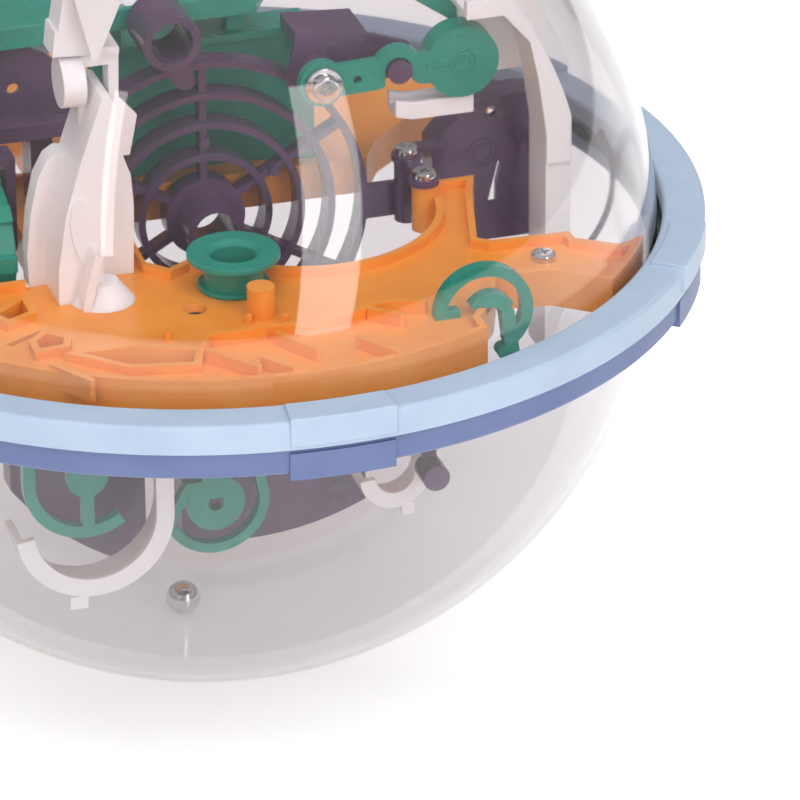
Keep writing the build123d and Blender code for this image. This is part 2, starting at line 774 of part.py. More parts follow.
# Purple carrier behind the flipper, with the pivot boss and the stop pin
carrier_front = flip_back + 4.5
with BuildPart() as flipper_carrier:
    with BuildSketch(facing(carrier_front)):
        add(outline((20, 31), (30, 28.5), (48, 31), (48, 38), (40, 41), (22, 44)))
    extrude(amount=-plate_thick)
    with BuildSketch(facing(flip_back + joint_gap)):
        with Locations((pivot_x, pivot_z)):
            Circle(flip_boss - 1)
        with Locations((stop_x, stop_z)):
            Circle(stop_radius)
    extrude(amount=-(carrier_front - flip_back))
    with BuildSketch(facing(flip_front - 1.5)):
        with Locations((stop_x, stop_z)):
            Circle(stop_radius)
    extrude(amount=-(flip_thick + 3))
    # Shelf that runs back to the green wall
    with BuildSketch(facing(carrier_front)):
        add(outline((24, 40.5), (40, 39.4), (40, 37.05), (24, 37.05)))
    extrude(amount=-(20 - carrier_front))
    with BuildSketch(facing(flip_back + joint_gap)):
        with Locations((pivot_x, pivot_z)):
            Circle(shank_hole)
    extrude(amount=-screw_length, mode=Mode.SUBTRACT)

# Fixed green arm that runs up to the left from behind the flipper's disc
with BuildPart() as upper_arm:
    with BuildSketch(facing(arch_back + plate_thick + 2 * contact_gap)):
        add(bar((62, 43), (38, 60), 7))
        with Locations((38, 60)):
            Circle(7)
            Circle(2, mode=Mode.SUBTRACT)
    extrude(amount=-2.5)

# Green wall behind the wheel
with BuildPart() as back_wall:
    with BuildSketch(Plane.XY.offset(deck_top + 0.02)):
        with BuildLine():
            near = ThreePointArc((-20, back_wall_y - 1), (5, back_wall_y + 2.5), (31, back_wall_y - 1))
            far = ThreePointArc((-20, back_wall_y + 1), (5, back_wall_y + 4.5), (31, back_wall_y + 1))
            Line(near @ 0, far @ 0)
            Line(near @ 1, far @ 1)
        make_face()
    extrude(amount=back_wall_height)
    with BuildSketch(facing(back_wall_y + 0.5)):
        add(outline((-20, 36.9), (31, 36.9), (31, 35.2), (-20, 35.2)))
    extrude(amount=-10)

# Green upper trough at the left, over the wall: a floor with a back wall and a front lip
with BuildPart() as upper_trough:
    with BuildSketch(Plane.XY.offset(trough_floor)):
        add(outline((-58, 14), (-46, 8), (-22, 8), (-16, 11), (16, 11), (20, 18), (20, 30), (-30, 36),
                    (-58, 30)))
    extrude(amount=plate_thick)
    with BuildSketch(Plane.XY.offset(trough_floor)):
        add(outline((-58, 28), (-30, 34), (20, 28.4), (20, 30), (-30, 36), (-58, 30)))
    extrude(amount=trough_height)
    with BuildSketch(Plane.XY.offset(trough_floor)):
        add(outline((-46, 8), (-22, 8), (-16, 11), (16, 11), (16, 12.6), (-16.5, 12.6),
                    (-22.5, 9.6), (-46, 9.6)))
    extrude(amount=trough_lip)
    # Legs down to the back wall's shelf
    with BuildSketch(Plane.XY.offset(37.1)):
        with Locations((-14, 24), (14, 24)):
            Rectangle(4, 6)
    extrude(amount=trough_floor - 37.1)
    with BuildSketch(Plane.XY.offset(trough_floor)):
        with Locations((-8, 22)):
            Circle(5.5)
    extrude(amount=7, mode=Mode.SUBTRACT)

# Purple track plate at the left, with a ledge along its foot
with BuildPart() as left_track:
    with BuildSketch(facing(track_front)):
        add(outline((-72, 26), (-27, 26), (-25.5, 28), (-27, 37), (-31, 41), (-38, 44.5),
                    (-66, 44.5), (-72, 38)))
    extrude(amount=-plate_thick)
    with BuildSketch(facing(1.5)):
        add(outline((-72, 26), (-26, 26), (-26, 27.6), (-72, 27.6)))
    extrude(amount=-(track_front + plate_thick - 1.5))
    with BuildSketch(facing(1.5)):
        add(outline((-72, 26), (-26, 26), (-26, 29.5), (-72, 29.5)))
    extrude(amount=-plate_thick)
    with BuildSketch(facing(track_front)):
        with Locations((-39, 34)):
            Circle(1.4)
    extrude(amount=-plate_thick, mode=Mode.SUBTRACT)
    # Leg down to the deck
    with BuildSketch(Plane.XY.offset(deck_top + 0.02)):
        with Locations((-33, track_front + 4)):
            Rectangle(5, 8)
    extrude(amount=26 - deck_top)

# Paddle drum that turns on a steel axle between two ears
with BuildPart() as paddle_drum:
    with BuildSketch(Plane.YZ.offset(drum_x - drum_width / 2)):
        with Locations((drum_y, drum_z)):
            Circle(drum_radius)
            with PolarLocations(drum_radius, drum_lugs):
                Rectangle(2.4, 4)
            Circle(axle_radius + axle_fit, mode=Mode.SUBTRACT)
    extrude(amount=drum_width)
    with BuildSketch(Plane.YZ.offset(drum_x - drum_width / 2 - 1)):
        with Locations((drum_y, drum_z)):
            Circle(drum_radius - plate_thick)
            Circle(4, mode=Mode.SUBTRACT)
    extrude(amount=(drum_width - drum_web) / 2 + 1, mode=Mode.SUBTRACT)
    with BuildSketch(Plane.YZ.offset(drum_x + drum_web / 2)):
        with Locations((drum_y, drum_z)):
            Circle(drum_radius - plate_thick)
            Circle(4, mode=Mode.SUBTRACT)
    extrude(amount=drum_width, mode=Mode.SUBTRACT)

ear_inner = drum_width / 2 + bracket_gap
with BuildPart() as drum_axle:
    with BuildSketch(Plane.YZ.offset(drum_x - ear_inner - bracket_thick)):
        with Locations((drum_y, drum_z)):
            Circle(axle_radius)
    extrude(amount=2 * (ear_inner + bracket_thick))

with BuildPart() as drum_bracket:
    for side in (-1, 1):
        start = drum_x + side * (ear_inner + bracket_thick / 2) - bracket_thick / 2
        with BuildSketch(Plane.YZ.offset(start)):
            with Locations((drum_y, (drum_z + yoke_z) / 2)):
                Rectangle(2 * ear_radius, yoke_z - drum_z)
            with Locations((drum_y, drum_z)):
                Circle(ear_radius)
                Circle(axle_radius, mode=Mode.SUBTRACT)
        extrude(amount=bracket_thick)
    # Yoke across the top, and a neck back to the purple ledge
    with Locations((drum_x, drum_y, yoke_z)):
        Box(2 * (ear_inner + bracket_thick), 2 * ear_radius, 2,
            align=(Align.CENTER, Align.CENTER, Align.MIN))
    with Locations((drum_x, (drum_y + 1.4) / 2, yoke_z + 0.7)):
        Box(8, 1.4 - drum_y, 1.2, align=(Align.CENTER, Align.CENTER, Align.MIN))

# Lower side: plates, loop, slide and chute that hang under the deck
hang_top = deck_bottom - contact_gap


def round_tray(outer, centre, left, right, front, depth):
    """Tray hung from the deck: a round-bottomed plate between two sides, with a rim behind it."""
    with BuildPart() as body:
        for inset, start in ((0, front), (plate_thick, front + plate_thick)):
            with BuildSketch(facing(start)):
                with Locations(centre):
                    Circle(outer - inset)
                with Locations(((left + right) / 2, hang_top - inset - 50)):
                    Rectangle(right - left - 2 * inset, 100, mode=Mode.INTERSECT)
            extrude(amount=-depth, mode=Mode.SUBTRACT if inset else Mode.ADD)
    return body.part


lower_right_tray = round_tray(62, (2, 0), -14, 28, -30, 7)
lower_left_tray = round_tray(66, (0, 0), -54, -24, -37, 6.5)

with BuildPart() as lower_loop:
    loop_centre = (-10, -44.5)
    with BuildSketch(facing(-44)):
        with Locations(loop_centre):
            Circle(6.5)
            add(sector(9.8, 12, -160, 165))
            Circle(1.8, mode=Mode.SUBTRACT)
        add(bar((-10, -41), (-16.5, -12), 5))
        add(bar((0.9, -44), (-3, -24), 2.2))
        add(bar((-3, -24), (-13.5, -18.5), 2.2))
        add(bar((-20.5, -47.8), (-16, -40), 2.2))
        add(bar((-16, -40), (-12, -40), 2.2))
        with Locations((-16.5, (hang_top - 12) / 2)):
            Rectangle(5, 12 + hang_top)
    extrude(amount=-2.5)

# Green hook at the lower left
with BuildPart() as lower_hook:
    with BuildSketch(facing(-60)):
        with Locations((-42.5, -25.5)):
            add(sector(11.4, 14, -185, 130))
            Circle(4.5)
        add(bar((-42.5, -25.5), (-42.5, -37.5), 2.6))
        with Locations((-55.2, (hang_top - 25.5) / 2)):
            Rectangle(2.6, 25.5 + hang_top)
    extrude(amount=-2.4)

# White slide: a round-bottomed channel with a front flange and a leg up to the deck
with BuildPart() as lower_slide:
    with BuildSketch(facing(slide_front)):
        with Locations((slide_x, slide_z)):
            add(sector(slide_outer - plate_thick, slide_outer, -172, 172))
    extrude(amount=-slide_depth)
    with BuildSketch(facing(slide_front)):
        with Locations((slide_x, slide_z)):
            add(sector(slide_outer - slide_flange, slide_outer, -172, 172))
        with Locations((slide_x + slide_outer - slide_flange / 2, (slide_z + hang_top) / 2)):
            Rectangle(slide_flange, hang_top - slide_z)
        with Locations((slide_x - 4, slide_z - slide_outer - 1)):
            Rectangle(4, 3)
    extrude(amount=-plate_thick)
    with BuildSketch(facing(slide_front)):
        with Locations((slide_x + slide_outer - plate_thick / 2, (slide_z + hang_top) / 2)):
            Rectangle(plate_thick, hang_top - slide_z)
    extrude(amount=-slide_depth)

# White chute at the lower right
with BuildPart() as lower_chute:
    with BuildSketch(facing(chute_front)):
        with Locations((chute_x, chute_z)):
            add(sector(chute_outer - plate_thick, chute_outer, -175, 175))
        with Locations((chute_x + chute_outer - plate_thick / 2, (chute_z + hang_top) / 2)):
            Rectangle(plate_thick, hang_top - chute_z)
    extrude(amount=-9)
    with BuildSketch(facing(chute_front)):
        with Locations((chute_x, chute_z)):
            add(sector(chute_outer - 3.6, chute_outer, -175, 175))
        with Locations((chute_x + 3, chute_z - chute_outer - 0.6)):
            Rectangle(3, 3)
    extrude(amount=-plate_thick)

# Purple peg hanger at the lower right
with BuildPart() as lower_peg:
    with BuildSketch(facing(peg_front + 5)):
        with Locations((peg_x, (hang_top + peg_z) / 2)):
            Rectangle(3, hang_top - peg_z)
    extrude(amount=-2)
    with BuildSketch(facing(peg_front)):
        with Locations((peg_x, peg_z)):
            Circle(3)
    extrude(amount=-7)


def screw(at, head_down):
    """Pan-head screw at a point on the surface under its head, pointing along a direction."""
    seat = Plane(origin=at, z_dir=head_down)
    with BuildPart() as body:
        with BuildSketch(seat):
            Circle(screw_shank_dia / 2)
        extrude(amount=screw_length - 0.5)
        with BuildSketch(seat):
            Circle(screw_head_dia / 2)
        extrude(amount=-screw_head_height)
    return body.part


deck_screws = Compound(children=[
    screw((post_x, post_y, post_top + lug_thick), (0, 0, -1)),
    screw((post_x, boss_y, post_top + lug_thick), (0, 0, -1)),
    screw((63.3, -47, deck_top), (0, 0, -1)),
])

# Washer-head screw that the flipper turns on
with BuildPart() as flipper_screw:
    with BuildSketch(facing(flip_front - joint_gap)):
        with Locations((pivot_x, pivot_z)):
            Circle(washer_head_dia / 2)
    extrude(amount=washer_thick)
    with BuildSketch(facing(flip_front - joint_gap - washer_thick)):
        with Locations((pivot_x, pivot_z)):
            Circle(screw_head_dia / 2 + 0.3)
    extrude(amount=screw_head_height)
    with BuildSketch(facing(flip_front - joint_gap)):
        with Locations((pivot_x, pivot_z)):
            Circle(flip_bore - pivot_fit)
    extrude(amount=-(flip_thick + 2 * joint_gap))
    with BuildSketch(facing(flip_back)):
        with Locations((pivot_x, pivot_z)):
            Circle(screw_shank_dia / 2)
    extrude(amount=-(screw_length - 1))

# Loose steel marble, low in the ball
with BuildPart() as marble:
    with Locations((marble_x, marble_y, -sqrt(marble_track ** 2 - marble_x ** 2 - marble_y ** 2))):
        Sphere(radius=marble_dia / 2)

pieces = {
    "upper_dome": upper_dome.part,
    "lower_dome": lower_dome.part,
    "upper_ring": upper_ring,
    "lower_ring": lower_ring,
    "deck": deck.part,
    "target_wheel": target_wheel.part,
    "quadrant": quadrant.part,
    "right_arch": right_arch,
    "left_arch": left_arch,
    "right_shelf": right_shelf.part,
    "guide_column": guide_column.part,
    "column_bracket": column_bracket.part,
    "cup": cup.part,
    "hook_loop": hook_loop.part,
    "flipper": flipper.part,
    "flipper_carrier": flipper_carrier.part,
    "flipper_screw": flipper_screw.part,
    "upper_arm": upper_arm.part,
    "back_wall": back_wall.part,
    "upper_trough": upper_trough.part,
    "left_track": left_track.part,
    "paddle_drum": paddle_drum.part,
    "drum_axle": drum_axle.part,
    "drum_bracket": drum_bracket.part,
    "lower_right_tray": lower_right_tray,
    "lower_left_tray": lower_left_tray,
    "lower_loop": lower_loop.part,
    "lower_hook": lower_hook.part,
    "lower_slide": lower_slide.part,
    "lower_chute": lower_chute.part,
    "lower_peg": lower_peg.part,
    "deck_screws": deck_screws,
    "marble": marble.part,
}
for name, solid in pieces.items():
    solid.label = name
    export_step(solid, f"parts/{name}.step")
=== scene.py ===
import json
import math
import bpy
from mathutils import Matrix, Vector


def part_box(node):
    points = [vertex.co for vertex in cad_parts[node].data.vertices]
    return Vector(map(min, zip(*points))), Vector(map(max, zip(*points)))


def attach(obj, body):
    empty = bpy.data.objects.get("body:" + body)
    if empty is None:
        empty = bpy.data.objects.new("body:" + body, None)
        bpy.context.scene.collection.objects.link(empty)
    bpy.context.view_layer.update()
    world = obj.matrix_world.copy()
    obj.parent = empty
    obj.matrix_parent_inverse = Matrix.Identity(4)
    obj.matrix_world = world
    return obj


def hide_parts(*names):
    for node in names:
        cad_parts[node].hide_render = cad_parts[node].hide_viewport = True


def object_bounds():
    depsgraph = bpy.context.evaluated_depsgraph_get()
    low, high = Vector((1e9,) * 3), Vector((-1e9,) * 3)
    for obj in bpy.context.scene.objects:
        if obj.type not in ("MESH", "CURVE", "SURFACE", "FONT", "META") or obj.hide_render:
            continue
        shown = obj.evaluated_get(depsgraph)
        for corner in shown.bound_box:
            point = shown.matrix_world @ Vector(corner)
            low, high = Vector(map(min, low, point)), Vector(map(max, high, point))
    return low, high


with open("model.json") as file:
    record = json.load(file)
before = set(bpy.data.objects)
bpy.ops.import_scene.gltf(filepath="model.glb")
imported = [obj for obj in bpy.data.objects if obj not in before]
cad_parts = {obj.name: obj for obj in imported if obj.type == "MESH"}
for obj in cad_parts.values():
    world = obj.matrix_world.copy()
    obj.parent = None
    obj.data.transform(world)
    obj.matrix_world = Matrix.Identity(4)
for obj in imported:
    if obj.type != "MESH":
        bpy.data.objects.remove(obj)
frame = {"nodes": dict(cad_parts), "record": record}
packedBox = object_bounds()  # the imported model's own box, taken before anything is added
nodes = frame["nodes"]
mm = 0.001
mergeGap = 0.002 * mm  # vertices nearer to each other than this become one
facingDown = -0.9      # a face whose normal points lower than this looks at the floor


def clearSelection():
    if bpy.context.object and bpy.context.object.mode != "OBJECT":
        bpy.ops.object.mode_set(mode="OBJECT")
    bpy.ops.object.select_all(action="DESELECT")


def makeActive(obj):
    clearSelection()
    obj.select_set(True)
    bpy.context.view_layer.objects.active = obj


def placeInMesh(obj):
    makeActive(obj)
    bpy.ops.object.transform_apply(location=True, rotation=True, scale=True)


def selectWhere(obj, kind, wanted):
    # leaves edit mode on, with only the vertices or faces that wanted() accepts selected
    bpy.ops.object.mode_set(mode="EDIT")
    bpy.ops.mesh.select_mode(type=kind)
    bpy.ops.mesh.select_all(action="DESELECT")
    bpy.ops.object.mode_set(mode="OBJECT")
    for element in obj.data.vertices if kind == "VERT" else obj.data.polygons:
        element.select = wanted(element)
    bpy.ops.object.mode_set(mode="EDIT")


def joinPieces(pieces, name):
    clearSelection()
    for piece in pieces:
        piece.select_set(True)
    bpy.context.view_layer.objects.active = pieces[0]
    bpy.ops.object.join()
    pieces[0].name = name
    return pieces[0]


def applyModifier(obj, kind, **settings):
    makeActive(obj)
    modifier = obj.modifiers.new(kind.lower(), kind)
    for key, value in settings.items():
        setattr(modifier, key, value)
    bpy.ops.object.modifier_apply(modifier=modifier.name)


def cutWith(obj, cutter):
    applyModifier(obj, "BOOLEAN", operation="DIFFERENCE", object=cutter, solver="EXACT")
    bpy.data.objects.remove(cutter)


def smoothByAngle(obj, degrees=40):
    makeActive(obj)
    bpy.ops.object.shade_smooth_by_angle(angle=math.radians(degrees))


def linearColour(hexCode):
    # the usual sRGB curve, from a hex colour to the linear values that a socket takes
    channels = [int(hexCode[i:i + 2], 16) / 255 for i in (1, 3, 5)]
    return [c / 12.92 if c <= 0.04045 else ((c + 0.055) / 1.055) ** 2.4 for c in channels] + [1]


def addNode(tree, kind, settings=None, **links):
    # settings are attributes or input values by name; links are input name to a source socket
    node = tree.nodes.new(kind)
    for key, value in (settings or {}).items():
        if hasattr(node, key):
            setattr(node, key, value)
        else:
            node.inputs[key].default_value = value
    for key, socket in links.items():
        tree.links.new(socket, node.inputs[key.replace("_", " ")])
    return node


def emptyMaterial(name):
    material = bpy.data.materials.new(name)
    material.use_nodes = True
    material.node_tree.nodes.clear()
    return material, material.node_tree


# Injection-moulded ABS: an even colour with faint clouds where the melt flowed, under a satin skin
# that the spark-eroded mould leaves slightly grained. The real grain is about 0.05 mm wide, too fine
# to show, so it is drawn at sparkMm, ten times as wide.
satin = {"cloudMm": 14, "cloudDetail": 3.0, "cloudLow": 0.35, "cloudHigh": 0.65,
         "sparkMm": 0.5, "sparkDetail": 2.0, "sparkDeepMm": 0.05, "bump": 0.12,
         "roughness": 0.36, "smoother": 0.05, "rougher": 0.07, "ior": 1.53,
         "depth": 0.0, "depthColour": (1, 1, 1), "depthMm": 1.0}


def mouldedPlastic(name, look):
    material, tree = emptyMaterial(name)
    place = addNode(tree, "ShaderNodeTexCoord").outputs["Object"]
    cloud = addNode(tree, "ShaderNodeTexNoise", {
        "Scale": 1 / (look["cloudMm"] * mm), "Detail": look["cloudDetail"]}, Vector=place)
    spark = addNode(tree, "ShaderNodeTexNoise", {
        "Scale": 1 / (look["sparkMm"] * mm), "Detail": look["sparkDetail"]}, Vector=place)
    clouding = addNode(tree, "ShaderNodeMapRange", {
        "From Min": look["cloudLow"], "From Max": look["cloudHigh"]}, Value=cloud.outputs[0])
    # in its colour form this node has the factor at 0, the two colours at 6 and 7, the mix at output 2
    mix = addNode(tree, "ShaderNodeMix", {"data_type": "RGBA"})
    tree.links.new(clouding.outputs[0], mix.inputs[0])
    mix.inputs[6].default_value = linearColour(look["colour"])
    mix.inputs[7].default_value = linearColour(look["shade"])
    skin = addNode(tree, "ShaderNodeMapRange", {
        "To Min": look["roughness"] - look["smoother"],
        "To Max": look["roughness"] + look["rougher"]}, Value=cloud.outputs[0])
    bump = addNode(tree, "ShaderNodeBump", {
        "Strength": look["bump"], "Distance": look["sparkDeepMm"] * mm}, Height=spark.outputs[0])
    shader = addNode(tree, "ShaderNodeBsdfPrincipled", {
        "IOR": look["ior"], "Subsurface Weight": look["depth"],
        "Subsurface Radius": look["depthColour"], "Subsurface Scale": look["depthMm"] * mm,
    }, Base_Color=mix.outputs[2], Roughness=skin.outputs[0], Normal=bump.outputs[0])
    addNode(tree, "ShaderNodeOutputMaterial", Surface=shader.outputs[0])
    return material


# Clear polystyrene, moulded against a polished tool: glossy, with a trace of grey and a slow wave
# in the skin. The index is set under polystyrene's 1.59, so the shells mirror the room less.
styrene = {"colour": "#E4E1E3", "lampTint": "#FFFFFF", "waveMm": 60, "waveDetail": 1.0,
           "waveDeepMm": 0.3, "bump": 0.06, "roughness": 0.01, "rougher": 0.03, "ior": 1.49}


def clearStyrene(name, look):
    material, tree = emptyMaterial(name)
    place = addNode(tree, "ShaderNodeTexCoord").outputs["Object"]
    wave = addNode(tree, "ShaderNodeTexNoise", {
        "Scale": 1 / (look["waveMm"] * mm), "Detail": look["waveDetail"]}, Vector=place)
    bump = addNode(tree, "ShaderNodeBump", {
        "Strength": look["bump"], "Distance": look["waveDeepMm"] * mm}, Height=wave.outputs[0])
    haze = addNode(tree, "ShaderNodeMapRange", {
        "To Min": look["roughness"], "To Max": look["roughness"] + look["rougher"]},
        Value=wave.outputs[0])
    glass = addNode(tree, "ShaderNodeBsdfPrincipled", {
        "IOR": look["ior"], "Transmission Weight": 1.0,
        "Base Color": linearColour(look["colour"])}, Roughness=haze.outputs[0], Normal=bump.outputs[0])
    # rays on their way to a lamp pass straight through, so the maze inside is lit
    through = addNode(tree, "ShaderNodeBsdfTransparent", {"Color": linearColour(look["lampTint"])})
    path = addNode(tree, "ShaderNodeLightPath")
    both = addNode(tree, "ShaderNodeMixShader")
    tree.links.new(path.outputs["Is Shadow Ray"], both.inputs[0])
    tree.links.new(glass.outputs[0], both.inputs[1])
    tree.links.new(through.outputs[0], both.inputs[2])
    addNode(tree, "ShaderNodeOutputMaterial", Surface=both.outputs[0])
    return material


# Bright steel, zinc-plated on the screws and lapped on the ball: a mirror skin with faint marks.
# The real marks are a few hundredths of a millimetre wide and are drawn wider, at grainMm, to show.
zincPlate = {"colour": "#DADADC", "grainMm": 0.8, "grainDetail": 4.0, "grainDeepMm": 0.05,
             "bump": 0.08, "roughness": 0.07, "rougher": 0.07}
lappedBall = dict(zincPlate, colour="#D8D6D4", grainMm=2.0, roughness=0.02)


def brightSteel(name, look):
    material, tree = emptyMaterial(name)
    place = addNode(tree, "ShaderNodeTexCoord").outputs["Object"]
    marks = addNode(tree, "ShaderNodeTexNoise", {
        "Scale": 1 / (look["grainMm"] * mm), "Detail": look["grainDetail"]}, Vector=place)
    skin = addNode(tree, "ShaderNodeMapRange", {
        "To Min": look["roughness"], "To Max": look["roughness"] + look["rougher"]},
        Value=marks.outputs[0])
    bump = addNode(tree, "ShaderNodeBump", {
        "Strength": look["bump"], "Distance": look["grainDeepMm"] * mm}, Height=marks.outputs[0])
    shader = addNode(tree, "ShaderNodeBsdfPrincipled", {
        "Metallic": 1.0, "Base Color": linearColour(look["colour"])},
        Roughness=skin.outputs[0], Normal=bump.outputs[0])
    addNode(tree, "ShaderNodeOutputMaterial", Surface=shader.outputs[0])
    return material


# each slot's plastic: depth is how much light sinks in and comes out again, as it does in pale ABS
plasticLooks = {
    "orange_plastic": dict(satin, colour="#F8A141", shade="#F19332", roughness=0.3,
                           depth=0.12, depthColour=(1.0, 0.5, 0.15), depthMm=1.5),
    "green_plastic": dict(satin, colour="#24957F", shade="#1D8874", roughness=0.27, bump=0.06,
                          depth=0.08, depthColour=(0.2, 1.0, 0.6)),
    "plum_plastic": dict(satin, colour="#5C4360", shade="#513A55", roughness=0.25, bump=0.06),
    "milky_plastic": dict(satin, colour="#F9F5F5", shade="#F6F1F2", roughness=0.33,
                          depth=0.3, depthColour=(1.0, 0.96, 0.95), depthMm=3.0),
    "pale_blue_plastic": dict(satin, colour="#A3B3C7", shade="#9DADC2", roughness=0.42),
    "violet_blue_plastic": dict(satin, colour="#5F6C96", shade="#58658F", roughness=0.42),
}
finish = {slot: mouldedPlastic("mouldedAbs_" + slot, look) for slot, look in plasticLooks.items()}
finish["clear_plastic"] = clearStyrene("clearStyrene", styrene)
finish["steel"] = brightSteel("zincPlatedSteel", zincPlate)
finish["ball_steel"] = brightSteel("polishedBearingSteel", lappedBall)
slotOf = {entry["node"]: entry["material_slot"] for entry in frame["record"]["subparts"]}


def dress(obj, slot):
    obj.data.materials.clear()
    obj.data.materials.append(finish[slot])


print("materials ready")

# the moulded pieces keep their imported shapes, with edges softened as a mould leaves them
moulding = {"weldMm": 0.004, "flatDegrees": 0.8, "edgeMm": 0.28, "edgeSegments": 2,
            "edgeDegrees": 38, "alreadyRound": ("marble", "upper_dome", "lower_dome")}
for name, obj in nodes.items():
    dress(obj, slotOf[name])
    for face in obj.data.polygons:
        face.use_smooth = True
    weld = obj.modifiers.new("weld", "WELD")
    weld.merge_threshold = moulding["weldMm"] * mm
    flat = obj.modifiers.new("flat", "DECIMATE")
    flat.decimate_type = "DISSOLVE"
    flat.angle_limit = math.radians(moulding["flatDegrees"])
    if name not in moulding["alreadyRound"]:
        soft = obj.modifiers.new("soft", "BEVEL")
        soft.width = moulding["edgeMm"] * mm
        soft.segments = moulding["edgeSegments"]
        soft.limit_method = "ANGLE"
        soft.angle_limit = math.radians(moulding["edgeDegrees"])
        soft.use_clamp_overlap = True
    weighted = obj.modifiers.new("weighted", "WEIGHTED_NORMAL")
    weighted.keep_sharp = True
print("frame dressed")

# the two clear half shells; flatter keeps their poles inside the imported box, and the flange is
# pushed out of the band of faces on the outer skin below flangeHeight
dome = {"outer": 100 * mm, "wall": 1.6 * mm, "flange": 105.6 * mm, "flangeHeight": 1.5 * mm,
        "flatter": 0.99495, "segments": 160, "rings": 96, "skinShare": 0.3}


def clearDome(name, node, upright):
    clearSelection()
    bpy.ops.mesh.primitive_uv_sphere_add(segments=dome["segments"], ring_count=dome["rings"],
                                         radius=dome["outer"])
    shell = bpy.context.object
    shell.name = name
    shell.scale = (1, 1, dome["flatter"])
    placeInMesh(shell)
    # cut away the lower half, then cut the rim's band so that the flange has faces of its own
    bpy.ops.object.mode_set(mode="EDIT")
    bpy.ops.mesh.select_all(action="SELECT")
    bpy.ops.mesh.bisect(plane_co=(0, 0, 0), plane_no=(0, 0, 1), clear_inner=True)
    bpy.ops.mesh.select_all(action="SELECT")
    bpy.ops.mesh.bisect(plane_co=(0, 0, dome["flangeHeight"]), plane_no=(0, 0, 1))
    bpy.ops.object.mode_set(mode="OBJECT")
    applyModifier(shell, "SOLIDIFY", thickness=dome["wall"], offset=-1, use_even_offset=True)
    skin = dome["outer"] - dome["skinShare"] * dome["wall"]
    selectWhere(shell, "FACE",
                lambda face: face.center.z < dome["flangeHeight"] and face.center.xy.length > skin)
    grow = dome["flange"] / dome["outer"]
    bpy.ops.mesh.extrude_region_move()
    bpy.ops.transform.resize(value=(grow, grow, 1), center_override=(0, 0, 0))
    bpy.ops.mesh.select_all(action="SELECT")
    bpy.ops.mesh.remove_doubles(threshold=mergeGap)
    bpy.ops.mesh.normals_make_consistent(inside=False)
    bpy.ops.object.mode_set(mode="OBJECT")
    if not upright:
        shell.scale = (1, 1, -1)
        placeInMesh(shell)
        bpy.ops.object.mode_set(mode="EDIT")
        bpy.ops.mesh.select_all(action="SELECT")
        bpy.ops.mesh.normals_make_consistent(inside=False)
        bpy.ops.object.mode_set(mode="OBJECT")
    smoothByAngle(shell)
    dress(shell, "clear_plastic")
    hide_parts(node)
    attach(shell, "ball_frame")


clearDome("clearUpperDome", "upper_dome", True)
clearDome("clearLowerDome", "lower_dome", False)
print("domes done")

# cross-head screws: two through the lugs on the posts and one in the deck, each turned as it
# happened to stop, and one with a washer that the flipper pivots on
screw = {"headR": 2.75 * mm, "headH": 1.7 * mm, "headSides": 48, "round": 0.75 * mm,
         "roundSegments": 5, "roundFrom": 0.98,
         "crossL": 1.9 * mm, "crossW": 0.5 * mm, "crossD": 1.15 * mm, "crossTurn": 20,
         "crossLow": 0.9, "crossTaper": 0.45,
         "shankR": 1.15 * mm, "shankL": 5.4 * mm,
         "washerR": 4.2 * mm, "washerH": 1.0 * mm, "washerSides": 64, "washerEdge": 0.25 * mm,
         "washerEdgeSegments": 3, "washerSeat": 0.99}
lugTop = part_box("deck_screws")[1][2] - screw["headH"]  # the deck screws' top, less a head
deckTop = 5 * mm
deckPlaces = [
    {"at": (47.5 * mm, -11.3 * mm, lugTop), "turn": 15},
    {"at": (47.5 * mm, 2 * mm, lugTop), "turn": 50},
    {"at": (63.3 * mm, -47 * mm, deckTop), "turn": 75},
]
pivot = {"at": (26 * mm, -6.8 * mm, 34 * mm), "size": 1.1}


